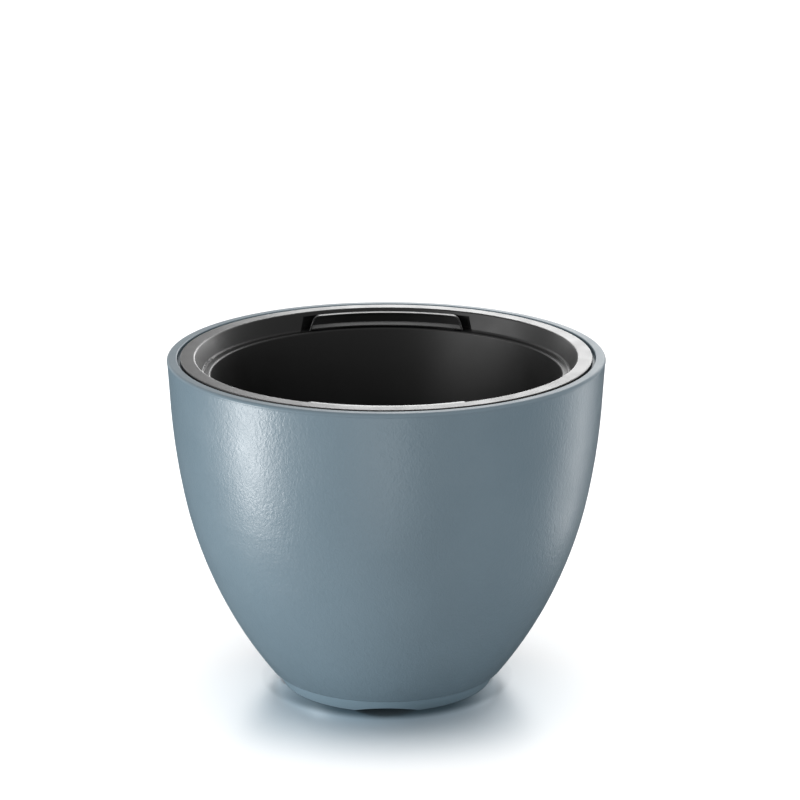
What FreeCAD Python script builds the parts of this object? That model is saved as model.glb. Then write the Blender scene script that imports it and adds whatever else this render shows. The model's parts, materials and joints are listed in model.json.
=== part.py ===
"""Round self watering planter: an outer pot, a lift-out liner and the parts that water it.

Millimetres.  The origin is on the floor at the centre of the pot, +Z is up and +Y is the rear.
Expressions name the cells of the Sizes sheet, so each size is written down once.
"""
import FreeCAD, Part
import math
import os
import re

import Sketcher

Vector = FreeCAD.Vector
Rotation = FreeCAD.Rotation
UP = Vector(0, 0, 1)

SIZES = {
    # Outer pot, seen in section: radius from the axis, height above the floor.
    "rim_radius": 185.0,
    "rim_height": 287.7,
    "rim_round": 2.5,
    "rim_inner_radius": 176.5,
    "shoulder_height": 285.0,
    "shoulder_step": 0.3,
    "upper_belly_radius": 182.3,
    "upper_belly_height": 244.5,
    "lower_belly_radius": 172.9,
    "lower_belly_height": 171.7,
    "upper_belly_curve": 582.0,
    "lower_belly_curve": 378.0,
    "belly_lean": 11.0,
    "base_radius": 100.75,
    "base_height": 12.5,
    "base_round": 3.0,
    "pot_wall": 3.2,
    "seat_height": 283.0,
    "seat_radius": 169.5,
    "seat_depth": 3.0,
    "seat_slope_inset": 1.0,
    "seat_slope_depth": 12.0,
    # Foot ring under the pot and the pegs that locate it.
    "foot_radius": 91.0,
    "foot_top_radius": 97.3,
    "foot_wall": 3.6,
    "foot_round": 0.8,
    "foot_collar_radius": 80.0,
    "foot_collar_depth": 3.2,
    "foot_collar_inset": 2.0,
    "scallop_chord": 55.0,
    "scallop_rise": 4.1,
    "peg_radius": 2.9,
    "peg_gap": 0.2,
    "peg_circle": 85.5,
    "peg_reach": 5.5,
    # Drain plug and its washer.
    "drain_radius": 11.0,
    "plug_gap": 0.3,
    "plug_flange_radius": 16.0,
    "plug_flange_depth": 2.5,
    "plug_grip_rise": 9.0,
    "plug_grip_width": 22.0,
    "plug_grip_depth": 3.0,
    "washer_depth": 1.2,
    "washer_inner_radius": 11.4,
    # Liner: flange, sloping collar, ledge and tapering wall.
    "flange_radius": 173.8,
    "flange_inner_radius": 161.6,
    "flange_depth": 2.4,
    "flange_round": 1.0,
    "collar_round": 1.6,
    "ledge_height": 272.3,
    "ledge_outer_radius": 155.6,
    "ledge_inner_radius": 148.75,
    "ledge_round": 2.4,
    "liner_wall": 2.3,
    "liner_floor_height": 62.3,
    "liner_floor_radius": 108.5,
    "liner_floor_round": 6.0,
    "aeration_radius": 2.5,
    "inner_aeration_circle": 30.0,
    "outer_aeration_circle": 90.0,
    # Windows, slots and shelves in the liner for the two handles.
    "window_half_angle": 27.6,
    "window_inner_radius": 154.0,
    "window_outer_radius": 162.8,
    "window_top": 284.3,
    "window_sink": 0.3,
    "window_end_start": 70.0,
    "window_end_low": 76.3,
    "window_end_high": 74.2,
    "window_end_top": 283.0,
    "shelf_radius": 163.0,
    "shelf_half_angle": 30.0,
    "screen_half_angle": 33.0,
    "screen_overlap": 0.2,
    "leg_slot_angle": 7.4,
    "leg_slot_gap": 0.5,
    "slot_overshoot": 1.0,
    # Pull-up handles.
    "handle_half_angle": 27.5,
    "handle_low_width": 68.3,
    "handle_high_width": 64.2,
    "handle_inner_radius": 152.0,
    "handle_outer_radius": 157.0,
    "handle_bottom": 272.9,
    "handle_top": 285.5,
    "handle_corner": 6.0,
    "handle_border": 1.4,
    "handle_edge_round": 0.4,
    "handle_recess_radius": 154.6,
    "handle_lip_edge": 1.4,
    "handle_lip_slope": 2.6,
    "leg_angle": 6.0,
    "leg_spread": 20.0,
    "leg_inner_radius": 153.4,
    "leg_outer_radius": 156.2,
    "leg_bottom": 236.0,
    "leg_hook_height": 241.5,
    "leg_hook_depth": 1.0,
    "leg_hook_reach": 2.4,
    "leg_root_height": 275.0,
    # Wick cups and their felt.
    "cup_circle": 62.0,
    "cup_flange_radius": 23.0,
    "cup_flange_depth": 2.2,
    "cup_top_radius": 19.8,
    "cup_bottom_radius": 14.0,
    "cup_bottom": 20.0,
    "cup_wall": 2.0,
    "cup_hole_radius": 20.2,
    "cup_drain_radius": 3.0,
    "cup_slot_width": 3.0,
    "cup_slot_bottom": 28.0,
    "cup_slot_top": 54.0,
    "felt_gap": 0.4,
    # Watering shaft, strainer and hinged lid.
    "shaft_offset": 84.0,
    "shaft_half_width": 23.0,
    "shaft_half_depth": 14.0,
    "shaft_corner": 12.0,
    "shaft_wall": 2.0,
    "shaft_bottom": 20.0,
    "shaft_top": 254.0,
    "shaft_collar": 3.0,
    "shaft_collar_depth": 2.0,
    "shaft_hole_gap": 0.3,
    "inlet_width": 5.0,
    "inlet_bottom": 30.0,
    "inlet_top": 46.0,
    "strainer_gap": 0.2,
    "strainer_rise": 7.0,
    "strainer_hole_radius": 1.5,
    "strainer_spacing": 4.8,
    "lid_depth": 2.0,
    "lid_gap": 0.3,
    "lid_edge": 1.9,
    "lid_overlap": 1.0,
    "thumb_tab": 2.5,
    "thumb_half_width": 6.0,
    "hinge_offset": 1.0,
    "hinge_height": 256.7,
    "knuckle_radius": 2.4,
    "knuckle_half_length": 5.0,
    "ear_length": 3.6,
    "ear_offset": 7.2,
    "pin_radius": 1.2,
    "pin_half_length": 9.0,
    "pin_running_gap": 0.05,
    "pin_seat_gap": 0.02,
    # Water gauge.
    "gauge_offset": 12.2,
    "gauge_radius": 7.5,
    "gauge_wall": 1.2,
    "gauge_bottom": 28.0,
    "gauge_top": 259.0,
    "gauge_stop_radius": 4.0,
    "gauge_stop_depth": 2.0,
    "gauge_dome": 4.0,
    "gauge_cap_edge": 3.6,
    "gauge_cap_gap": 0.2,
    "float_radius": 5.6,
    "float_length": 36.0,
    "float_lift": 0.3,
    "rod_radius": 1.0,
    "rod_length": 137.0,
    "marker_radius": 4.6,
    "marker_length": 14.0,
}

REAR = 90.0
FRONT = 270.0
HANDLE_AZIMUTHS = {"handle_rear": REAR, "handle_front": FRONT}
CUP_AZIMUTHS = {"rear": 90.0, "left": 210.0, "right": 330.0}
FIRST_OUTER_HOLE = -30.0

doc = FreeCAD.newDocument("self_watering_planter")
sizes = doc.addObject("Spreadsheet::Sheet", "Sizes")
for row, (alias, number) in enumerate(SIZES.items(), start=1):
    sizes.set(f"A{row}", alias)
    sizes.set(f"B{row}", str(number))
    sizes.setAlias(f"B{row}", alias)
doc.recompute()

sub_parts = []


# ---------------------------------------------------------------- expressions

def bound(expression):
    """Writes the sheet's name in front of each cell that an expression uses."""
    return re.sub(r"[a-z]+(?:_[a-z]+)+", lambda word: "Sizes." + word.group(), expression)


def value(expression):
    """The number that an expression gives now."""
    return float(sizes.evalExpression(bound(expression)))


def tie(target, name, expression):
    """Binds one property to the sheet."""
    target.setExpression(name, bound(expression))


# ---------------------------------------------------------------- bodies and sketches

def new_body(label):
    """An empty sub-part; its label names its file."""
    body = doc.addObject("PartDesign::Body", label)
    body.Label = label
    sub_parts.append(body)
    return body


def origin_feature(body, role):
    """One of the body's own origin planes or axes."""
    return next(item for item in body.Origin.OriginFeatures if item.Role == role)


def new_sketch(body, name, plane="XZ_Plane", azimuth=0.0, lift=None):
    """A sketch on an origin plane; azimuth turns an upright one about the vertical axis."""
    sketch = body.newObject("Sketcher::SketchObject", name)
    sketch.AttachmentSupport = [(origin_feature(body, plane), "")]
    sketch.MapMode = "FlatFace"
    sketch.AttachmentOffset = FreeCAD.Placement(Vector(), Rotation(Vector(0, 1, 0), azimuth))
    if lift is not None:
        tie(sketch, "AttachmentOffset.Base.z", lift)
    return sketch


def hold(sketch, constraint, expression=None):
    """Adds a constraint and, if it has a size, binds it."""
    index = sketch.addConstraint(constraint)
    if expression is not None:
        tie(sketch, f"Constraints[{index}]", expression)


def place_point(sketch, geometry, point, across, height):
    """Holds a point at its two coordinates."""
    for kind, axis, expression in (("DistanceX", -2, across), ("DistanceY", -1, height)):
        number = value(expression)
        if abs(number) < 1e-9:
            hold(sketch, Sketcher.Constraint("PointOnObject", geometry, point, axis))
        else:
            hold(sketch, Sketcher.Constraint(kind, geometry, point, number), expression)


def arc_between(start, end, radius, side):
    """The shorter arc from start to end; side 1 bows to the left of the way, -1 to the right."""
    chord = end - start
    sag_side = Vector(-chord.y, chord.x, 0).normalize() * side
    reach = math.sqrt(max(radius ** 2 - (chord.Length / 2) ** 2, 0.0))
    centre = (start + end) / 2 - sag_side * reach
    first, last = (end, start) if side > 0 else (start, end)
    angles = [math.atan2(point.y - centre.y, point.x - centre.x) for point in (first, last)]
    if angles[1] < angles[0]:
        angles[1] += 2 * math.pi
    return Part.ArcOfCircle(Part.Circle(centre, UP, radius), *angles)


def draw_outline(sketch, corners):
    """A closed outline.  A corner is (across, height) or (across, height, radius, side), where the
    last two make an arc of the stretch that leads to that corner."""
    points = [Vector(value(corner[0]), value(corner[1]), 0) for corner in corners]
    ends = []
    for index, corner in enumerate(corners):
        start, end = points[index - 1], points[index]
        if len(corner) == 2:
            geometry = sketch.addGeometry(Part.LineSegment(start, end))
            ends.append((geometry, 1, 2))
            continue
        radius, side = corner[2:]
        geometry = sketch.addGeometry(arc_between(start, end, value(radius), side))
        ends.append((geometry, 2, 1) if side > 0 else (geometry, 1, 2))
        hold(sketch, Sketcher.Constraint("Radius", geometry, value(radius)), radius)
    for index, corner in enumerate(corners):
        geometry, _, arrival = ends[index]
        following, departure, _ = ends[(index + 1) % len(ends)]
        hold(sketch, Sketcher.Constraint("Coincident", geometry, arrival, following, departure))
        place_point(sketch, geometry, arrival, corner[0], corner[1])


def draw_circle(sketch, across, height, radius):
    """A circle held by its centre and radius."""
    centre = Vector(value(across), value(height), 0)
    geometry = sketch.addGeometry(Part.Circle(centre, UP, value(radius)))
    hold(sketch, Sketcher.Constraint("Radius", geometry, value(radius)), radius)
    place_point(sketch, geometry, 3, across, height)


def draw_rectangle(sketch, left, right, low, high):
    """An upright rectangle."""
    draw_outline(sketch, [(left, low), (right, low), (right, high), (left, high)])


def draw_rounded_box(sketch, half_width, half_depth, radius, left=None):
    """A box with round corners about the origin; left gives it a square edge on that side."""
    right_side = [
        (f"{half_width} - {radius}", f"-({half_depth})"),
        (half_width, f"-({half_depth}) + {radius}", radius, -1),
        (half_width, f"{half_depth} - {radius}"),
        (f"{half_width} - {radius}", half_depth, radius, -1),
    ]
    if left is None:
        left_side = [
            (f"-({half_width}) + {radius}", half_depth),
            (f"-({half_width})", f"{half_depth} - {radius}", radius, -1),
            (f"-({half_width})", f"-({half_depth}) + {radius}"),
            (f"-({half_width}) + {radius}", f"-({half_depth})", radius, -1),
        ]
    else:
        left_side = [(left, half_depth), (left, f"-({half_depth})")]
    draw_outline(sketch, right_side + left_side)


# ---------------------------------------------------------------- features

def finished(body, feature, adds=None):
    """Recomputes, and checks that a cut took something away and a join added something."""
    body.Tip = feature
    doc.recompute()
    if adds is None:
        return feature
    gained = feature.Shape.Volume - feature.BaseFeature.Shape.Volume
    if gained * (1 if adds else -1) <= 1e-3:
        raise RuntimeError(f"{body.Label}: {feature.Name} changed nothing")
    return feature


def turn(body, sketch, angle="360", cut=False, first=False):
    """Revolves a sketch about the vertical axis, evenly to both sides of its plane."""
    kind = "Groove" if cut else "Revolution"
    feature = body.newObject(f"PartDesign::{kind}", f"{sketch.Name}_{kind}")
    feature.Profile = sketch
    feature.ReferenceAxis = (sketch, ["V_Axis"])
    feature.Midplane = True
    tie(feature, "Angle", angle)
    sketch.Visibility = False
    return finished(body, feature, None if first else not cut)


def raise_up(body, sketch, length, first=False, both_ways=False, downwards=False):
    """Pads a sketch."""
    feature = body.newObject("PartDesign::Pad", f"{sketch.Name}_Pad")
    feature.Profile = sketch
    feature.SideType = "Symmetric" if both_ways else "One side"
    feature.Reversed = downwards
    tie(feature, "Length", length)
    return finished(body, feature, None if first else True)


def cut_through(body, sketch, both_ways=False, upwards=False):
    """Cuts a sketch right through."""
    feature = body.newObject("PartDesign::Pocket", f"{sketch.Name}_Pocket")
    feature.Profile = sketch
    feature.SideType = "Symmetric" if both_ways else "One side"
    feature.Type = "ThroughAll"
    feature.Reversed = upwards
    return finished(body, feature, False)


def around(body, feature, count, angle="360", adds=False):
    """Repeats a feature about the body's vertical axis."""
    pattern = body.newObject("PartDesign::PolarPattern", f"{feature.Name}_Around")
    pattern.Originals = [feature]
    pattern.Axis = (origin_feature(body, "Z_Axis"), [""])
    pattern.Occurrences = count
    tie(pattern, "Angle", angle)
    return finished(body, pattern, adds)


def mirror(body, feature, plane, adds=True):
    """Repeats a feature on the other side of an origin plane."""
    copy = body.newObject("PartDesign::Mirrored", f"{feature.Name}_Mirror")
    copy.Originals = [feature]
    copy.MirrorPlane = (origin_feature(body, plane), [""])
    return finished(body, copy, adds)


def round_off(body, wanted, radius):
    """Fillets the edges that a test picks."""
    base = body.Tip
    names = [f"Edge{n}" for n, edge in enumerate(base.Shape.Edges, start=1) if wanted(edge)]
    if not names:
        raise RuntimeError(f"{body.Label}: no edge to round off")
    feature = body.newObject("PartDesign::Fillet", f"{body.Label}_Fillet")
    feature.Base = (base, names)
    tie(feature, "Radius", radius)
    return finished(body, feature)


def ring_at(radius, height):
    """Picks full circles about the axis at one radius and height."""
    wanted_radius, wanted_height = value(radius), value(height)

    def test(edge):
        curve = edge.Curve
        return (isinstance(curve, Part.Circle) and abs(curve.Radius - wanted_radius) < 0.01
                and abs(curve.Center.z - wanted_height) < 0.01)
    return test


def on_cylinder(radius):
    """Picks the edges that lie on a cylinder about the axis."""
    wanted_radius = value(radius)

    def test(edge):
        middle = edge.valueAt((edge.FirstParameter + edge.LastParameter) / 2)
        points = [vertex.Point for vertex in edge.Vertexes] + [middle]
        return all(abs(math.hypot(point.x, point.y) - wanted_radius) < 0.01 for point in points)
    return test


def depth_line_at(height):
    """Picks the straight level edges at one height that run from front to rear."""
    wanted_height = value(height)

    def test(edge):
        if not isinstance(edge.Curve, Part.Line):
            return False
        start, end = [vertex.Point for vertex in edge.Vertexes]
        return (abs(start.z - wanted_height) < 0.01 and abs(end.z - wanted_height) < 0.01
                and abs(start.x - end.x) < 0.01)
    return test


def set_down(sub_part, across, depth, height="0"):
    """Moves a sub-part to its place."""
    for axis, expression in (("x", across), ("y", depth), ("z", height)):
        tie(sub_part, f"Placement.Base.{axis}", expression)


# ---------------------------------------------------------------- outer pot and foot

def make_outer_pot():
    body = new_body("outer_pot")
    lean = "belly_lean"
    section = new_sketch(body, "pot_section")
    draw_outline(section, [
        ("drain_radius", "base_height"),
        ("base_radius", "base_height"),
        ("lower_belly_radius", "lower_belly_height", "lower_belly_curve", -1),
        ("upper_belly_radius", "upper_belly_height", "upper_belly_curve", -1),
        ("rim_radius - shoulder_step", "shoulder_height"),
        ("rim_radius", "shoulder_height"),
        ("rim_radius", "rim_height"),
        ("rim_inner_radius", "rim_height"),
        ("rim_inner_radius", "seat_height"),
        ("seat_radius", "seat_height"),
        ("seat_radius", "seat_height - seat_depth"),
        ("rim_radius - pot_wall - seat_slope_inset", "seat_height - seat_depth - seat_slope_depth"),
        ("upper_belly_radius - pot_wall", "upper_belly_height"),
        (f"lower_belly_radius - pot_wall * cos({lean})",
         f"lower_belly_height + pot_wall * sin({lean})", "upper_belly_curve - pot_wall", 1),
        ("base_radius - pot_wall / 2", "base_height + pot_wall", "lower_belly_curve - pot_wall", 1),
        ("drain_radius", "base_height + pot_wall"),
    ])
    turn(body, section, first=True)
    round_off(body, ring_at("rim_radius", "rim_height"), "rim_round")
    round_off(body, ring_at("rim_inner_radius", "rim_height"), "flange_round")
    round_off(body, ring_at("base_radius", "base_height"), "base_round")

    peg = new_sketch(body, "peg", "XY_Plane", lift="base_height")
    draw_circle(peg, "peg_circle * cos(45)", "peg_circle * sin(45)", "peg_radius")
    around(body, raise_up(body, peg, "peg_reach", downwards=True), 4, adds=True)


def make_foot_ring():
    body = new_body("foot_ring")
    section = new_sketch(body, "foot_section")
    draw_outline(section, [
        ("foot_radius - foot_wall", "0"),
        ("foot_radius", "0"),
        ("foot_top_radius", "base_height"),
        ("foot_collar_radius", "base_height"),
        ("foot_collar_radius", "base_height - foot_collar_depth"),
        ("foot_top_radius - foot_wall - foot_collar_inset", "base_height - foot_collar_depth"),
    ])
    turn(body, section, first=True)
    round_off(body, ring_at("foot_radius", "0"), "foot_round")

    peg_hole = new_sketch(body, "peg_hole", "XY_Plane", lift="base_height")
    draw_circle(peg_hole, "peg_circle * cos(45)", "peg_circle * sin(45)", "peg_radius + peg_gap")
    around(body, cut_through(body, peg_hole), 4)

    scallop_radius = "((scallop_chord / 2)^2 + scallop_rise^2) / (2 * scallop_rise)"
    for plane in ("XZ_Plane", "YZ_Plane"):
        scallop = new_sketch(body, f"scallop_{plane[:2]}", plane)
        draw_circle(scallop, "0", f"scallop_rise - {scallop_radius}", scallop_radius)
        cut_through(body, scallop, both_ways=True)


def make_drain_plug():
    body = new_body("drain_plug")
    flange_bottom = "base_height + pot_wall + washer_depth"
    section = new_sketch(body, "plug_section")
    draw_outline(section, [
        ("0", "base_height + plug_gap"),
        ("drain_radius - plug_gap", "base_height + plug_gap"),
        ("drain_radius - plug_gap", flange_bottom),
        ("plug_flange_radius", flange_bottom),
        ("plug_flange_radius", f"{flange_bottom} + plug_flange_depth"),
        ("0", f"{flange_bottom} + plug_flange_depth"),
    ])
    turn(body, section, first=True)
    grip = new_sketch(body, "plug_grip", "XY_Plane", lift=f"{flange_bottom} + plug_flange_depth")
    draw_rectangle(grip, "-plug_grip_width / 2", "plug_grip_width / 2",
                   "-plug_grip_depth / 2", "plug_grip_depth / 2")
    raise_up(body, grip, "plug_grip_rise")


def make_drain_washer():
    body = new_body("drain_plug_seal")
    section = new_sketch(body, "washer_section")
    draw_rectangle(section, "washer_inner_radius", "plug_flange_radius - plug_gap",
                   "base_height + pot_wall", "base_height + pot_wall + washer_depth")
    turn(body, section, first=True)


# ---------------------------------------------------------------- liner and handles

def make_liner():
    body = new_body("liner")
    under_ledge = "ledge_height - liner_wall"
    under_flange = "rim_height - flange_depth"
    section = new_sketch(body, "liner_section")
    draw_outline(section, [
        ("0", "liner_floor_height - liner_wall"),
        ("liner_floor_radius + liner_wall", "liner_floor_height - liner_wall"),
        ("ledge_inner_radius + liner_wall", under_ledge),
        ("ledge_outer_radius + liner_wall", under_ledge),
        ("flange_inner_radius + liner_wall", under_flange),
        ("flange_radius - liner_wall", under_flange),
        ("flange_radius - liner_wall", "seat_height"),
        ("flange_radius", "seat_height"),
        ("flange_radius", "rim_height"),
        ("flange_inner_radius", "rim_height"),
        ("ledge_outer_radius", "ledge_height"),
        ("ledge_inner_radius", "ledge_height"),
        ("liner_floor_radius", "liner_floor_height"),
        ("0", "liner_floor_height"),
    ])
    turn(body, section, first=True)
    round_off(body, ring_at("flange_radius", "rim_height"), "flange_round")
    round_off(body, ring_at("flange_inner_radius", "rim_height"), "collar_round")
    round_off(body, ring_at("ledge_outer_radius", "ledge_height"), "ledge_round")
    round_off(body, ring_at("ledge_inner_radius", "ledge_height"), "collar_round")
    round_off(body, ring_at("liner_floor_radius", "liner_floor_height"), "liner_floor_round")
    round_off(body, ring_at("liner_floor_radius + liner_wall", "liner_floor_height - liner_wall"),
              "liner_floor_round + liner_wall")

    shelf = new_sketch(body, "handle_shelf", azimuth=REAR)
    draw_rectangle(shelf, "ledge_outer_radius", "shelf_radius", under_ledge, "ledge_height")
    around(body, turn(body, shelf, "2 * shelf_half_angle"), 2, adds=True)

    window_end = new_sketch(body, "window_end")
    draw_outline(window_end, [
        ("window_end_start", "ledge_height + window_sink"),
        ("window_end_low", "ledge_height + window_sink"),
        ("window_end_high", "window_end_top"),
        ("window_end_start", "window_end_top"),
    ])
    mirror(body, cut_through(body, window_end, both_ways=True), "YZ_Plane", adds=False)

    screen = new_sketch(body, "window_screen", azimuth=REAR)
    draw_rectangle(screen, "shelf_radius - window_sink - screen_overlap", "shelf_radius + liner_wall",
                   under_ledge, f"{under_flange} + window_sink")
    around(body, turn(body, screen, "2 * screen_half_angle"), 2, adds=True)

    window = new_sketch(body, "handle_window", azimuth=REAR)
    draw_rectangle(window, "window_inner_radius", "window_outer_radius",
                   "ledge_height - window_sink", "window_top")
    around(body, turn(body, window, "2 * window_half_angle", cut=True), 2)

    for side in (1, -1):
        azimuth = REAR + side * value("leg_spread")
        slot = new_sketch(body, "leg_slot_left" if side > 0 else "leg_slot_right", azimuth=azimuth)
        draw_rectangle(slot, "leg_inner_radius - leg_slot_gap", "leg_outer_radius + leg_slot_gap",
                       f"{under_ledge} - slot_overshoot", "ledge_height + slot_overshoot")
        around(body, turn(body, slot, "leg_slot_angle", cut=True), 2)

    cup_hole = new_sketch(body, "cup_hole", "XY_Plane", lift="liner_floor_height")
    draw_circle(cup_hole, "0", "cup_circle", "cup_hole_radius")
    around(body, cut_through(body, cup_hole), 3)

    inner_hole = new_sketch(body, "inner_aeration_hole", "XY_Plane", lift="liner_floor_height")
    draw_circle(inner_hole, "inner_aeration_circle", "0", "aeration_radius")
    around(body, cut_through(body, inner_hole), 6)

    outer_hole = new_sketch(body, "outer_aeration_hole", "XY_Plane", lift="liner_floor_height")
    first = math.radians(FIRST_OUTER_HOLE)
    draw_circle(outer_hole, f"outer_aeration_circle * {math.cos(first):.6f}",
                f"outer_aeration_circle * {math.sin(first):.6f}", "aeration_radius")
    around(body, cut_through(body, outer_hole), 9, "240")

    shaft_hole = new_sketch(body, "shaft_hole", "XY_Plane", lift="liner_floor_height")
    tie(shaft_hole, "AttachmentOffset.Base.y", "-shaft_offset")
    draw_rounded_box(shaft_hole, "(shaft_half_width + shaft_hole_gap)",
                     "(shaft_half_depth + shaft_hole_gap)", "(shaft_corner + shaft_hole_gap)")
    cut_through(body, shaft_hole)


def make_handle(label, azimuth):
    """A curved grip panel with leaning ends, a raised border, a finger lip and two hooked legs."""
    body = new_body(label)
    panel = new_sketch(body, "panel_section", azimuth=REAR)
    draw_rectangle(panel, "handle_inner_radius", "handle_outer_radius", "handle_bottom", "handle_top")
    turn(body, panel, "2 * handle_half_angle", first=True)

    lean = "(handle_low_width - handle_high_width) / (handle_top - handle_bottom)"
    lip_bottom = "handle_bottom + handle_lip_edge"
    recess_top = "handle_top - handle_border"
    recess_low = f"handle_low_width - handle_border - {lean} * handle_lip_edge"
    recess_high = f"handle_high_width - handle_border + {lean} * handle_border"
    recess = new_sketch(body, "recess_outline")
    draw_outline(recess, [
        (f"-({recess_low})", lip_bottom),
        (recess_low, lip_bottom),
        (recess_high, recess_top),
        (f"-({recess_high})", recess_top),
    ])
    cut_through(body, recess, both_ways=True)
    round_off(body, depth_line_at(recess_top), "handle_corner - handle_border")

    back = new_sketch(body, "panel_back", azimuth=REAR)
    draw_outline(back, [
        ("handle_inner_radius", "handle_bottom"),
        ("handle_outer_radius", "handle_bottom"),
        ("handle_outer_radius", "handle_top"),
        ("handle_recess_radius", "handle_top"),
        ("handle_recess_radius", f"{lip_bottom} + handle_lip_slope"),
        ("handle_inner_radius", lip_bottom),
    ])
    turn(body, back, "2 * handle_half_angle")

    end = new_sketch(body, "panel_end")
    draw_outline(end, [
        ("handle_low_width", "handle_bottom"),
        ("handle_outer_radius / 2", "handle_bottom"),
        ("handle_outer_radius / 2", "handle_top"),
        ("handle_high_width", "handle_top"),
    ])
    mirror(body, cut_through(body, end, both_ways=True), "YZ_Plane", adds=False)
    round_off(body, depth_line_at("handle_top"), "handle_corner")
    round_off(body, on_cylinder("handle_inner_radius"), "handle_edge_round")

    leg = new_sketch(body, "leg_section", azimuth=REAR + value("leg_spread"))
    draw_outline(leg, [
        ("leg_inner_radius", "leg_bottom"),
        ("leg_outer_radius", "leg_bottom"),
        ("leg_outer_radius + leg_hook_reach", "leg_hook_height - leg_hook_depth"),
        ("leg_outer_radius + leg_hook_reach", "leg_hook_height"),
        ("leg_outer_radius", "leg_hook_height"),
        ("leg_outer_radius", "leg_root_height"),
        ("leg_inner_radius", "leg_root_height"),
    ])
    mirror(body, turn(body, leg, "leg_angle"), "YZ_Plane")
    body.Placement = FreeCAD.Placement(Vector(), Rotation(UP, azimuth - REAR))


# ---------------------------------------------------------------- wick cups

def make_wick_cup(name, azimuth):
    """A slotted cup that hangs through the liner's floor into the water, with felt inside."""
    angle = math.radians(azimuth)
    across = f"cup_circle * {math.cos(angle):.6f}"
    depth = f"cup_circle * {math.sin(angle):.6f}"

    body = new_body(f"wick_cup_{name}")
    section = new_sketch(body, "cup_section")
    draw_outline(section, [
        ("cup_drain_radius", "cup_bottom"),
        ("cup_bottom_radius", "cup_bottom"),
        ("cup_top_radius", "liner_floor_height"),
        ("cup_flange_radius", "liner_floor_height"),
        ("cup_flange_radius", "liner_floor_height + cup_flange_depth"),
        ("cup_top_radius - cup_wall", "liner_floor_height + cup_flange_depth"),
        ("cup_bottom_radius - cup_wall", "cup_bottom + cup_wall"),
        ("cup_drain_radius", "cup_bottom + cup_wall"),
    ])
    turn(body, section, first=True)
    slot = new_sketch(body, "cup_slot")
    draw_rectangle(slot, "-cup_slot_width / 2", "cup_slot_width / 2", "cup_slot_bottom", "cup_slot_top")
    around(body, cut_through(body, slot, both_ways=True), 4, "135")
    set_down(body, across, depth)

    felt = doc.addObject("Part::Cone", f"wick_felt_{name}")
    felt.Label = f"wick_felt_{name}"
    tie(felt, "Radius1", "cup_bottom_radius - cup_wall - felt_gap")
    tie(felt, "Radius2", "cup_top_radius - cup_wall - felt_gap")
    tie(felt, "Height", "liner_floor_height - cup_bottom - cup_wall")
    set_down(felt, across, depth, "cup_bottom + cup_wall")
    sub_parts.append(felt)


# ---------------------------------------------------------------- watering shaft

def make_watering_shaft():
    body = new_body("watering_shaft")
    tube = new_sketch(body, "shaft_outline", "XY_Plane", lift="shaft_bottom")
    draw_rounded_box(tube, "shaft_half_width", "shaft_half_depth", "shaft_corner")
    raise_up(body, tube, "shaft_top - shaft_bottom", first=True)
    collar = new_sketch(body, "shaft_collar_outline", "XY_Plane", lift="liner_floor_height")
    draw_rounded_box(collar, "(shaft_half_width + shaft_collar)",
                     "(shaft_half_depth + shaft_collar)", "(shaft_corner + shaft_collar)")
    raise_up(body, collar, "shaft_collar_depth")
    bore = new_sketch(body, "shaft_bore", "XY_Plane", lift="shaft_top")
    draw_rounded_box(bore, "(shaft_half_width - shaft_wall)", "(shaft_half_depth - shaft_wall)",
                     "(shaft_corner - shaft_wall)")
    cut_through(body, bore)
    inlet = new_sketch(body, "shaft_inlet")
    draw_rectangle(inlet, "inlet_width", "2 * inlet_width", "inlet_bottom", "inlet_top")
    mirror(body, cut_through(body, inlet, both_ways=True), "YZ_Plane", adds=False)
    set_down(body, "0", "-shaft_offset")


def make_shaft_strainer():
    """A perforated tray pressed into the foot of the shaft."""
    body = new_body("shaft_strainer")
    inset = "(shaft_wall + strainer_gap)"
    tray = new_sketch(body, "tray_outline", "XY_Plane", lift="shaft_bottom")
    draw_rounded_box(tray, f"(shaft_half_width - {inset})", f"(shaft_half_depth - {inset})",
                     f"(shaft_corner - {inset})")
    raise_up(body, tray, "strainer_rise", first=True)
    inset = "2 * shaft_wall"
    hollow = new_sketch(body, "tray_hollow", "XY_Plane", lift="shaft_bottom + strainer_rise")
    draw_rounded_box(hollow, f"(shaft_half_width - {inset})", f"(shaft_half_depth - {inset})",
                     f"(shaft_corner - {inset})")
    pocket = body.newObject("PartDesign::Pocket", "tray_hollow_Pocket")
    pocket.Profile = hollow
    tie(pocket, "Length", "strainer_rise - shaft_wall")
    finished(body, pocket, adds=False)
    holes = new_sketch(body, "tray_holes", "XY_Plane", lift="shaft_bottom + shaft_wall")
    for column in range(-3, 4):
        for line in (-1, 0, 1):
            draw_circle(holes, f"{column} * strainer_spacing", f"{line} * strainer_spacing",
                        "strainer_hole_radius")
    cut_through(body, holes)
    set_down(body, "0", "-shaft_offset")


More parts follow.
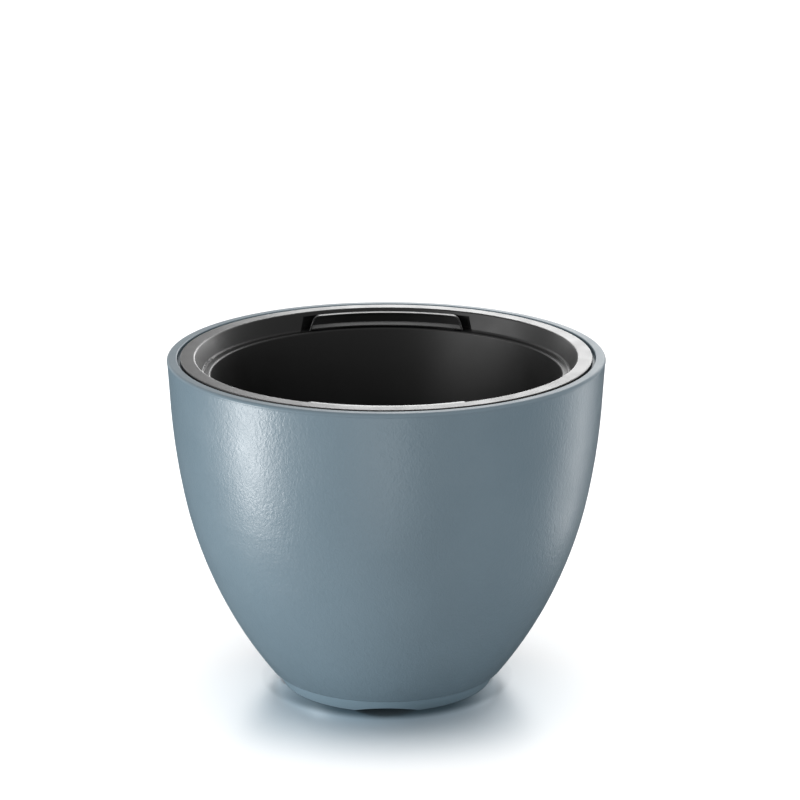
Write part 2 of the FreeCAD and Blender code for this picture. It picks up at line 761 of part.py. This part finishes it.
def make_shaft_lid():
    """A flap over the filling side of the shaft, with one hinge knuckle."""
    body = new_body("shaft_lid")
    plate_bottom = "shaft_top + lid_gap"
    plate = new_sketch(body, "lid_outline", "XY_Plane", lift=plate_bottom)
    inner, outer = "-lid_edge", "-shaft_half_width"
    depth, corner = "shaft_half_depth", "shaft_corner"
    draw_outline(plate, [
        (inner, f"-{depth}"),
        (inner, depth),
        (f"{outer} + {corner}", depth),
        (outer, f"{depth} - {corner}", corner, -1),
        (outer, f"-{depth} + {corner}"),
        (f"{outer} + {corner}", f"-{depth}", corner, -1),
    ])
    raise_up(body, plate, "lid_depth", first=True)
    tab = new_sketch(body, "thumb_tab", "XY_Plane", lift=plate_bottom)
    draw_rectangle(tab, f"{outer} - thumb_tab", f"{outer} + lid_overlap",
                   "-thumb_half_width", "thumb_half_width")
    raise_up(body, tab, "lid_depth")
    knuckle = new_sketch(body, "knuckle")
    draw_circle(knuckle, "hinge_offset", "hinge_height", "knuckle_radius")
    raise_up(body, knuckle, "2 * knuckle_half_length", both_ways=True)
    web = new_sketch(body, "knuckle_web")
    draw_rectangle(web, "-lid_edge - lid_overlap", "hinge_offset",
                   plate_bottom, f"{plate_bottom} + lid_depth")
    raise_up(body, web, "2 * knuckle_half_length", both_ways=True)
    bore = new_sketch(body, "knuckle_bore")
    draw_circle(bore, "hinge_offset", "hinge_height", "pin_radius + pin_running_gap")
    cut_through(body, bore, both_ways=True)
    set_down(body, "0", "-shaft_offset")


def make_gauge_cap():
    """A fixed cover over the gauge side of the shaft, with two ears for the hinge pin."""
    body = new_body("gauge_cap")
    plate = new_sketch(body, "cap_outline", "XY_Plane", lift="shaft_top")
    draw_rounded_box(plate, "shaft_half_width", "shaft_half_depth", "shaft_corner",
                     left="gauge_cap_edge")
    draw_circle(plate, "gauge_offset", "0", "gauge_radius + gauge_cap_gap")
    raise_up(body, plate, "lid_depth + lid_gap", first=True)
    ear = new_sketch(body, "ear", lift="ear_offset")
    draw_circle(ear, "hinge_offset", "hinge_height", "knuckle_radius")
    ear_pad = raise_up(body, ear, "ear_length", both_ways=True, first=True)
    web = new_sketch(body, "ear_web", lift="ear_offset")
    draw_rectangle(web, "hinge_offset", "gauge_cap_edge + lid_overlap", "shaft_top + lid_gap",
                   "shaft_top + lid_gap + lid_depth")
    web_pad = raise_up(body, web, "ear_length", both_ways=True)
    copy = body.newObject("PartDesign::Mirrored", "ears_Mirror")
    copy.Originals = [ear_pad, web_pad]
    copy.MirrorPlane = (origin_feature(body, "XZ_Plane"), [""])
    finished(body, copy, adds=True)
    bore = new_sketch(body, "ear_bore")
    draw_circle(bore, "hinge_offset", "hinge_height", "pin_radius + pin_seat_gap")
    cut_through(body, bore, both_ways=True)
    set_down(body, "0", "-shaft_offset")


def make_hinge_pin():
    pin = doc.addObject("Part::Cylinder", "lid_hinge_pin")
    pin.Label = "lid_hinge_pin"
    tie(pin, "Radius", "pin_radius")
    tie(pin, "Height", "2 * pin_half_length")
    pin.Placement.Rotation = Rotation(Vector(1, 0, 0), 90)
    set_down(pin, "hinge_offset", "-shaft_offset + pin_half_length", "hinge_height")
    sub_parts.append(pin)


# ---------------------------------------------------------------- water gauge

def make_gauge_tube():
    """A clear tube with a closed dome on top and a stop ring at its foot."""
    body = new_body("gauge_tube")
    section = new_sketch(body, "gauge_section")
    draw_outline(section, [
        ("gauge_stop_radius", "gauge_bottom"),
        ("gauge_radius", "gauge_bottom"),
        ("gauge_radius", "gauge_top - gauge_dome"),
        ("gauge_radius - gauge_dome", "gauge_top", "gauge_dome", -1),
        ("0", "gauge_top"),
        ("0", "gauge_top - gauge_wall"),
        ("gauge_radius - gauge_dome", "gauge_top - gauge_wall"),
        ("gauge_radius - gauge_wall", "gauge_top - gauge_dome", "gauge_dome - gauge_wall", 1),
        ("gauge_radius - gauge_wall", "gauge_bottom + gauge_stop_depth"),
        ("gauge_stop_radius", "gauge_bottom + gauge_stop_depth"),
    ])
    turn(body, section, first=True)
    set_down(body, "gauge_offset", "-shaft_offset")


def make_gauge_column():
    """The float, its rod and the marker, stacked inside the gauge tube."""
    height = "gauge_bottom + gauge_stop_depth + float_lift"
    for name, radius, length in (("gauge_float", "float_radius", "float_length"),
                                 ("gauge_rod", "rod_radius", "rod_length"),
                                 ("gauge_marker", "marker_radius", "marker_length")):
        piece = doc.addObject("Part::Cylinder", name)
        piece.Label = name
        tie(piece, "Radius", radius)
        tie(piece, "Height", length)
        set_down(piece, "gauge_offset", "-shaft_offset", height)
        height = f"{height} + {length}"
        sub_parts.append(piece)


# ---------------------------------------------------------------- build, check and write

def check_document():
    doc.recompute()
    for item in doc.Objects:
        if "Invalid" in item.State or "Error" in item.State:
            raise RuntimeError(f"{item.Name}: {item.State}")
    for sub_part in sub_parts:
        if sub_part.Shape.isNull() or not sub_part.Shape.isValid():
            raise RuntimeError(f"{sub_part.Label}: bad shape")
        if len(sub_part.Shape.Solids) != 1:
            raise RuntimeError(f"{sub_part.Label}: {len(sub_part.Shape.Solids)} solids")


def write_parts():
    os.makedirs("parts", exist_ok=True)
    for sub_part in sub_parts:
        sub_part.Shape.exportStep(f"parts/{sub_part.Label}.step")
        box = sub_part.Shape.BoundBox
        print(f"{sub_part.Label:18s} {sub_part.Shape.Volume / 1000:9.2f} cm3  "
              f"x {box.XMin:7.1f} {box.XMax:7.1f}  y {box.YMin:7.1f} {box.YMax:7.1f}  "
              f"z {box.ZMin:6.1f} {box.ZMax:6.1f}")


make_outer_pot()
make_foot_ring()
make_drain_plug()
make_drain_washer()
make_liner()
for handle_label, handle_azimuth in HANDLE_AZIMUTHS.items():
    make_handle(handle_label, handle_azimuth)
for cup_name, cup_azimuth in CUP_AZIMUTHS.items():
    make_wick_cup(cup_name, cup_azimuth)
make_watering_shaft()
make_shaft_strainer()
make_shaft_lid()
make_gauge_cap()
make_hinge_pin()
make_gauge_tube()
make_gauge_column()
check_document()
write_parts()
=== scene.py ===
import json
import math

import bpy
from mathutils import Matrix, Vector


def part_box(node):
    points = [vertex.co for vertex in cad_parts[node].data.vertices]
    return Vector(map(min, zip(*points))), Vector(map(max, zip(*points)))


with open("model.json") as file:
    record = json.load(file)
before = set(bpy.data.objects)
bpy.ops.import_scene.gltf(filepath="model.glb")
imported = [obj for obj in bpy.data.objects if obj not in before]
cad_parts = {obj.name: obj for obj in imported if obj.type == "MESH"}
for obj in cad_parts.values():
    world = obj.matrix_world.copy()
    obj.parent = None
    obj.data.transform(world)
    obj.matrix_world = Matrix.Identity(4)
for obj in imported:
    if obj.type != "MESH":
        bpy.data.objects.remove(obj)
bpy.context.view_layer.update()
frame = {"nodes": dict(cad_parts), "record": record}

MM = 0.001


# ---------------------------------------------------------------- shader helpers

# a noise stays between these two nearly everywhere
NOISE_LOW, NOISE_HIGH = 0.3, 0.7

# sockets of the Mix node when it mixes colours
MIX_SHARE, MIX_FIRST, MIX_SECOND, MIX_RESULT = 0, 6, 7, 2


class Shader:
    """A node material built step by step; each step returns the socket it makes."""

    def __init__(self, name):
        self.material = bpy.data.materials.new(name)
        self.material.use_nodes = True
        self.tree = self.material.node_tree
        self.surface = self.tree.nodes["Principled BSDF"]
        self.place = self.add("ShaderNodeTexCoord").outputs["Object"]

    def add(self, kind, **settings):
        node = self.tree.nodes.new(kind)
        for key, setting in settings.items():
            setattr(node, key, setting)
        return node

    def put(self, socket, item):
        """Links the item to the socket if it is a socket too, or else sets it as a value."""
        if isinstance(item, bpy.types.NodeSocket):
            self.tree.links.new(item, socket)
        else:
            socket.default_value = item

    def feed(self, node, **inputs):
        """Sets or links a node's inputs; a key may use _ for a space."""
        for key, item in inputs.items():
            self.put(node.inputs[key.replace("_", " ")], item)
        return node

    def stretched(self, x=1.0, y=1.0, z=1.0):
        node = self.add("ShaderNodeMapping")
        return self.feed(node, Vector=self.place, Scale=(x, y, z)).outputs["Vector"]

    def noise(self, scale, detail=2.0, roughness=0.5, distortion=0.0, vector=None):
        node = self.add("ShaderNodeTexNoise")
        self.feed(node, Vector=vector or self.place, Scale=scale, Detail=detail,
                  Roughness=roughness, Distortion=distortion)
        return node.outputs["Fac"]

    def spread(self, source, low, high, to_low, to_high, smooth=False):
        """Maps the range low to high of the source onto to_low to to_high, and stops there."""
        kind = "SMOOTHSTEP" if smooth else "LINEAR"
        node = self.add("ShaderNodeMapRange", interpolation_type=kind)
        self.feed(node, Value=source, From_Min=low, From_Max=high, To_Min=to_low, To_Max=to_high)
        return node.outputs["Result"]

    def varied(self, source, low, high):
        """Maps a noise onto a value that wanders between low and high over the surface."""
        return self.spread(source, NOISE_LOW, NOISE_HIGH, low, high)

    def combine(self, first, second, operation="ADD"):
        node = self.add("ShaderNodeMath", operation=operation)
        self.put(node.inputs[0], first)
        self.put(node.inputs[1], second)
        return node.outputs["Value"]

    def blend_colours(self, share, first, second):
        node = self.add("ShaderNodeMix", data_type="RGBA")
        self.put(node.inputs[MIX_SHARE], share)
        self.put(node.inputs[MIX_FIRST], first)
        self.put(node.inputs[MIX_SECOND], second)
        return node.outputs[MIX_RESULT]

    def height(self):
        split = self.add("ShaderNodeSeparateXYZ")
        return self.feed(split, Vector=self.place).outputs["Z"]

    def distance_from(self, point, vector=None):
        reach = self.add("ShaderNodeVectorMath", operation="DISTANCE")
        self.put(reach.inputs[0], vector or self.place)
        self.put(reach.inputs[1], point)
        return reach.outputs["Value"]

    def bump(self, relief, depth, strength, under=None):
        node = self.add("ShaderNodeBump")
        self.feed(node, Height=relief, Distance=depth, Strength=strength)
        if under is not None:
            self.feed(node, Normal=under)
        return node.outputs["Normal"]

    def finish(self, **inputs):
        self.feed(self.surface, **inputs)
        return self.material


def opaque(red, green, blue):
    return (red, green, blue, 1.0)


def toned(colour, factor):
    return opaque(*(channel * factor for channel in colour[:3]))


def grey(level, warm=0.0):
    return opaque(level + warm, level, level - warm)


# ---------------------------------------------------------------- materials

POT_COLOUR = opaque(0.102, 0.146, 0.176)
POT_COLOUR_DEEP = opaque(0.094, 0.136, 0.165)
# painted light: the foot ring's colour is brightened by this factor, so it shows lighter than the
# wall as if lit from low down
FOOT_PAINTED_LIGHT_LIFT = 1.38

# the grain ends at a shoulder a little below the rim's top
RIM_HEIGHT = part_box("outer_pot")[1].z
SHOULDER_HEIGHT = RIM_HEIGHT - 2.7 * MM
GRAIN_FADE = 1.2 * MM
GRAIN_DEPTH = 0.36 * MM
GRAIN_STRENGTH = 0.6
CREASE_SHARE = 0.6


def leather_grain(shader):
    """Wavy ripples with finer creases, drawn out a little upwards, on the wall only."""
    upright = shader.stretched(z=0.72)
    ripple = shader.noise(290.0, detail=1.0, distortion=0.8, vector=upright)
    crease = shader.noise(430.0, detail=1.0, distortion=1.2, vector=upright)
    relief = shader.combine(ripple, shader.combine(crease, CREASE_SHARE, "MULTIPLY"))
    wall = shader.spread(shader.height(), SHOULDER_HEIGHT - GRAIN_FADE, SHOULDER_HEIGHT,
                         1.0, 0.0, smooth=True)
    return shader.combine(relief, wall, "MULTIPLY")


def pot_plastic(name, grained, painted_lift=1.0):
    """Satin lacquered plastic, faintly clouded; a lift above 1 brightens the colour as painted
    light.
    """
    shader = Shader(name)
    cloud = shader.spread(shader.noise(9.0, detail=3.0), 0.35, 0.65, 0.0, 1.0)
    colour = shader.blend_colours(cloud, toned(POT_COLOUR, painted_lift), toned(POT_COLOUR_DEEP, painted_lift))
    gloss = shader.varied(shader.noise(34.0, detail=4.0), 0.35, 0.41)
    skin = shader.bump(shader.noise(1400.0), 0.02 * MM, 0.25)
    if grained:
        skin = shader.bump(leather_grain(shader), GRAIN_DEPTH, GRAIN_STRENGTH, under=skin)
    return shader.finish(Base_Color=colour, Roughness=gloss, Normal=skin)


def black_plastic(name, level=0.003, low=0.38, high=0.44, relief=0.02):
    """Moulded black plastic with a fine spark-eroded texture and faint flow marks."""
    shader = Shader(name)
    flow = shader.noise(26.0, detail=4.0)
    colour = shader.blend_colours(flow, grey(level * 0.85), grey(level * 1.2))
    gloss = shader.varied(shader.noise(48.0, detail=4.0), low, high)
    skin = shader.bump(shader.noise(2600.0), relief * MM, 0.5)
    return shader.finish(Base_Color=colour, Roughness=gloss, Normal=skin, Specular_IOR_Level=0.25)


def felt(name):
    """Grey wick felt with short tangled fibres."""
    shader = Shader(name)
    fibre = shader.noise(900.0, detail=5.0, roughness=0.7, distortion=1.5)
    colour = shader.blend_colours(fibre, opaque(0.33, 0.31, 0.27), opaque(0.62, 0.60, 0.54))
    skin = shader.bump(fibre, 0.4 * MM, 0.8)
    return shader.finish(Base_Color=colour, Roughness=0.95, Normal=skin, Sheen_Weight=0.4)


def rubber(name):
    """Dull black washer rubber."""
    shader = Shader(name)
    colour = shader.blend_colours(shader.noise(60.0, detail=4.0), grey(0.010), grey(0.022))
    gloss = shader.varied(shader.noise(120.0, detail=3.0), 0.62, 0.78)
    skin = shader.bump(shader.noise(1800.0), 0.03 * MM, 0.5)
    return shader.finish(Base_Color=colour, Roughness=gloss, Normal=skin)


def clear_plastic(name):
    """The clear gauge tube, a little scuffed."""
    shader = Shader(name)
    gloss = shader.varied(shader.noise(70.0, detail=4.0), 0.03, 0.10)
    return shader.finish(Base_Color=opaque(0.93, 0.96, 0.97), Roughness=gloss,
                         Transmission_Weight=0.96, IOR=1.49)


def foam(name):
    """Closed-cell float foam."""
    shader = Shader(name)
    cells = shader.add("ShaderNodeTexVoronoi")
    cell = shader.feed(cells, Vector=shader.place, Scale=900.0).outputs["Distance"]
    colour = shader.blend_colours(cell, grey(0.78, 0.01), grey(0.62, 0.015))
    skin = shader.bump(cell, 0.15 * MM, 0.7)
    return shader.finish(Base_Color=colour, Roughness=0.8, Normal=skin)


def moulded(name, colour, low=0.3, high=0.4):
    """Smooth coloured plastic for the small gauge pieces."""
    shader = Shader(name)
    tint = shader.blend_colours(shader.noise(80.0, detail=4.0), colour, toned(colour, 0.82))
    gloss = shader.varied(shader.noise(150.0, detail=3.0), low, high)
    skin = shader.bump(shader.noise(1500.0), 0.01 * MM, 0.4)
    return shader.finish(Base_Color=tint, Roughness=gloss, Normal=skin)


def drawn_steel(name):
    """Steel pin with drawing lines along it."""
    shader = Shader(name)
    lines = shader.noise(500.0, detail=3.0, vector=shader.stretched(y=0.02))
    gloss = shader.varied(lines, 0.22, 0.38)
    skin = shader.bump(lines, 0.01 * MM, 0.5)
    return shader.finish(Base_Color=grey(0.55), Metallic=1.0, Roughness=gloss, Normal=skin)


MATERIALS = {
    "pot_shell": pot_plastic("pot_shell_look", grained=True),
    "pot_foot": pot_plastic("pot_foot_painted_light_look", grained=False, painted_lift=FOOT_PAINTED_LIGHT_LIFT),
    "liner_black": black_plastic("liner_look"),
    "handle_black": black_plastic("handle_look", low=0.30, high=0.36),
    "inner_black": black_plastic("inner_look", level=0.02, low=0.45, high=0.55, relief=0.03),
    "felt": felt("felt_look"),
    "seal_rubber": rubber("rubber_look"),
    "clear_tube": clear_plastic("clear_look"),
    "float_foam": foam("foam_look"),
    "rod_white": moulded("rod_look", opaque(0.75, 0.74, 0.70)),
    "marker_red": moulded("marker_look", opaque(0.62, 0.03, 0.02), 0.2, 0.3),
    "pin_steel": drawn_steel("pin_look"),
}

for part in frame["record"]["subparts"]:
    node = frame["nodes"][part["node"]]
    node.data.materials.clear()
    node.data.materials.append(MATERIALS[part["material_slot"]])


# ---------------------------------------------------------------- camera and floor

def add_object(name, data):
    thing = bpy.data.objects.new(name, data)
    bpy.context.scene.collection.objects.link(thing)
    return thing


CAMERA_PLACE = (0.0, -2.3202, 0.9036)
CAMERA_DOWN = 15.80
CAMERA_RIGHT = 0.285


def make_camera():
    data = bpy.data.cameras.new("camera")
    data.lens = 127.9
    data.sensor_width = 36.0
    camera = add_object("camera", data)
    camera.location = CAMERA_PLACE
    camera.rotation_euler = (math.radians(90.0 - CAMERA_DOWN), 0.0, math.radians(-CAMERA_RIGHT))
    bpy.context.scene.camera = camera


FLOOR_SIZE = 60.0

# the patch in front of the foot that mirrors it; wider than it is deep
PATCH_CENTRE = (0.0, -70 * MM, 0.0)
PATCH_FLATTENING = 0.75

FLOOR_PALE = grey(0.93)
# painted bluish tint on the floor near the foot, standing in for the pot's colour in the floor's
# reflection and shadow
FLOOR_PAINTED_REFLECTION_TINT = opaque(0.84, 0.92, 0.97)
# painted shade colour by the foot and under it
FLOOR_PAINTED_SHADE = opaque(0.15, 0.20, 0.23)
CONTACT_REACH = 18 * MM


def make_floor():
    """A plain pale floor, polished in front of the foot, with painted shade where the foot meets
    it and under it and a painted bluish tint near it.
    """
    mesh = bpy.data.meshes.new("floor")
    corners = [(side * FLOOR_SIZE, end * FLOOR_SIZE, 0)
               for side, end in ((-1, -1), (1, -1), (1, 1), (-1, 1))]
    mesh.from_pydata(corners, [], [(0, 1, 2, 3)])
    floor = add_object("floor", mesh)
    shader = Shader("floor_look")
    away = shader.distance_from(PATCH_CENTRE, vector=shader.stretched(x=PATCH_FLATTENING))
    polish = shader.spread(away, 25 * MM, 150 * MM, 0.90, 0.03, smooth=True)
    gloss = shader.spread(away, 60 * MM, 300 * MM, 0.28, 0.45)

    # painted shade: the floor's colour goes dark right by the foot, by how open the floor is to
    # the air, and under the foot; pale elsewhere
    contact = shader.feed(shader.add("ShaderNodeAmbientOcclusion", samples=12),
                          Distance=CONTACT_REACH)
    near = shader.spread(contact.outputs["AO"], 0.40, 0.80, 0.0, 1.0)
    far = shader.spread(away, 40 * MM, 90 * MM, 0.0, 0.9)
    around_foot = shader.spread(shader.distance_from((0.0, 0.0, 0.0)), 78 * MM, 86 * MM, 0.0, 1.0)
    clear_of_painted_shade = shader.combine(shader.combine(near, far, "MAXIMUM"), around_foot, "MULTIPLY")

    # painted tint: bluish near the foot, fading out to the plain pale floor
    outward = shader.spread(away, 30 * MM, 150 * MM, 0.0, 1.0)
    pale = shader.blend_colours(outward, FLOOR_PAINTED_REFLECTION_TINT, FLOOR_PALE)
    # painted shade: dark by and under the foot, the painted bluish tint near it, pale further out
    tone = shader.blend_colours(clear_of_painted_shade, FLOOR_PAINTED_SHADE, pale)
    mesh.materials.append(shader.finish(Base_Color=tone, Roughness=gloss, Metallic=polish))
    floor.visible_glossy = False
    return floor


# ---------------------------------------------------------------- light

def pieces_with(name, *slots):
    """The pieces that have one of the material slots, gathered for light linking."""
    group = bpy.data.collections.new(name)
    for part in frame["record"]["subparts"]:
        if part["material_slot"] in slots:
            group.objects.link(frame["nodes"][part["node"]])
    return group


def link_floor(name, floor, state):
    """A light linking group that holds only the floor, or with EXCLUDE all but the floor."""
    group = bpy.data.collections.new(name)
    group.objects.link(floor)
    group.collection_objects[0].light_linking.link_state = state
    return group


def make_soft_box(name, place, target, width, height, power, lit, shading):
    """A light that only the lit pieces receive and only the shading pieces block."""
    data = bpy.data.lights.new(name, "AREA")
    data.shape = "RECTANGLE"
    data.size = width
    data.size_y = height
    data.energy = power
    light = add_object(name, data)
    light.visible_camera = False
    light.light_linking.receiver_collection = lit
    light.light_linking.blocker_collection = shading
    light.location = place
    direction = Vector(target) - Vector(place)
    light.rotation_euler = direction.to_track_quat("-Z", "Y").to_euler()


def make_floor_light(name, strength, spread_degrees, lit, shading=None):
    """A broad light from straight overhead; everything shades it unless shading is given."""
    data = bpy.data.lights.new(name, "SUN")
    data.energy = strength
    data.angle = math.radians(spread_degrees)
    light = add_object(name, data)
    light.location = (0, 0, 3)
    light.light_linking.receiver_collection = lit
    light.light_linking.blocker_collection = shading


SKY_STRENGTH = 1.0
GROUND_STRENGTH = 0.03
HORIZON_LOW, HORIZON_HIGH = -0.10, -0.02


def make_sky():
    """White all round; below the horizon it is nearly dark, which only gloss can see."""
    world = bpy.data.worlds.new("studio")
    world.use_nodes = True
    tree = world.node_tree
    place = tree.nodes.new("ShaderNodeTexCoord")
    split = tree.nodes.new("ShaderNodeSeparateXYZ")
    tree.links.new(place.outputs["Generated"], split.inputs["Vector"])
    strength = tree.nodes.new("ShaderNodeMapRange")
    tree.links.new(split.outputs["Z"], strength.inputs["Value"])
    for key, level in (("From Min", HORIZON_LOW), ("From Max", HORIZON_HIGH),
                       ("To Min", GROUND_STRENGTH), ("To Max", SKY_STRENGTH)):
        strength.inputs[key].default_value = level
    background = tree.nodes["Background"]
    background.inputs["Color"].default_value = (1, 1, 1, 1)
    tree.links.new(strength.outputs["Result"], background.inputs["Strength"])
    bpy.context.scene.world = world
    bpy.context.scene.view_settings.view_transform = "Standard"


make_camera()
floor = make_floor()
off_the_floor = link_floor("off_the_floor", floor, "EXCLUDE")
only_the_floor = link_floor("only_the_floor", floor, "INCLUDE")
black = pieces_with("black_pieces", "liner_black", "handle_black", "inner_black")
handles = pieces_with("handle_pieces", "handle_black")
pot = pieces_with("pot_pieces", "pot_shell", "pot_foot")

MIDDLE = (0, 0, 0.2)
RIM = (0, 0, 0.28)
REAR_HANDLE = (0, 0.15, 0.28)
for soft_box in (
    # name, place, target, width, height, power, lit pieces, shading pieces
    ("key", (-1.25, -0.40, -0.12), MIDDLE, 0.26, 0.6, 16.5, pot, off_the_floor),
    ("front_glow", (-0.04, -1.4, -0.30), MIDDLE, 0.45, 0.5, 2.0, pot, off_the_floor),
    ("right_back", (1.22, 0.66, -0.17), (0, 0, 0.18), 0.5, 0.8, 4.2, pot, off_the_floor),
    ("back_panel", (0.34, 1.25, 0.62), (0.05, 0, 0.28), 0.9, 0.6, 3.4, pot, off_the_floor),
    ("liner_key", (-1.18, -0.47, 0.50), MIDDLE, 1.35, 0.9, 26, black, off_the_floor),
    ("liner_back", (0.42, 1.20, 0.60), RIM, 1.2, 0.6, 15, black, off_the_floor),
    ("liner_left", (-0.75, 1.10, 0.55), RIM, 0.6, 0.6, 2, black, off_the_floor),
    ("handle_line", (-0.15, -1.2, 0.90), REAR_HANDLE, 0.4, 0.3, 6, handles, handles),
    ("handle_left", (-1.2, 0.15, 0.35), REAR_HANDLE, 0.3, 0.3, 18, handles, handles),
    ("handle_right", (1.2, 0.15, 0.35), REAR_HANDLE, 0.3, 0.3, 18, handles, handles),
    ("handle_lip", (0, -0.13, 1.34), REAR_HANDLE, 1.2, 0.3, 9.5, handles, handles),
):
    make_soft_box(*soft_box)
make_floor_light("floor_sun", 0.9, 60, only_the_floor)
make_floor_light("floor_fill", 0.85, 60, only_the_floor, shading=only_the_floor)
make_sky()
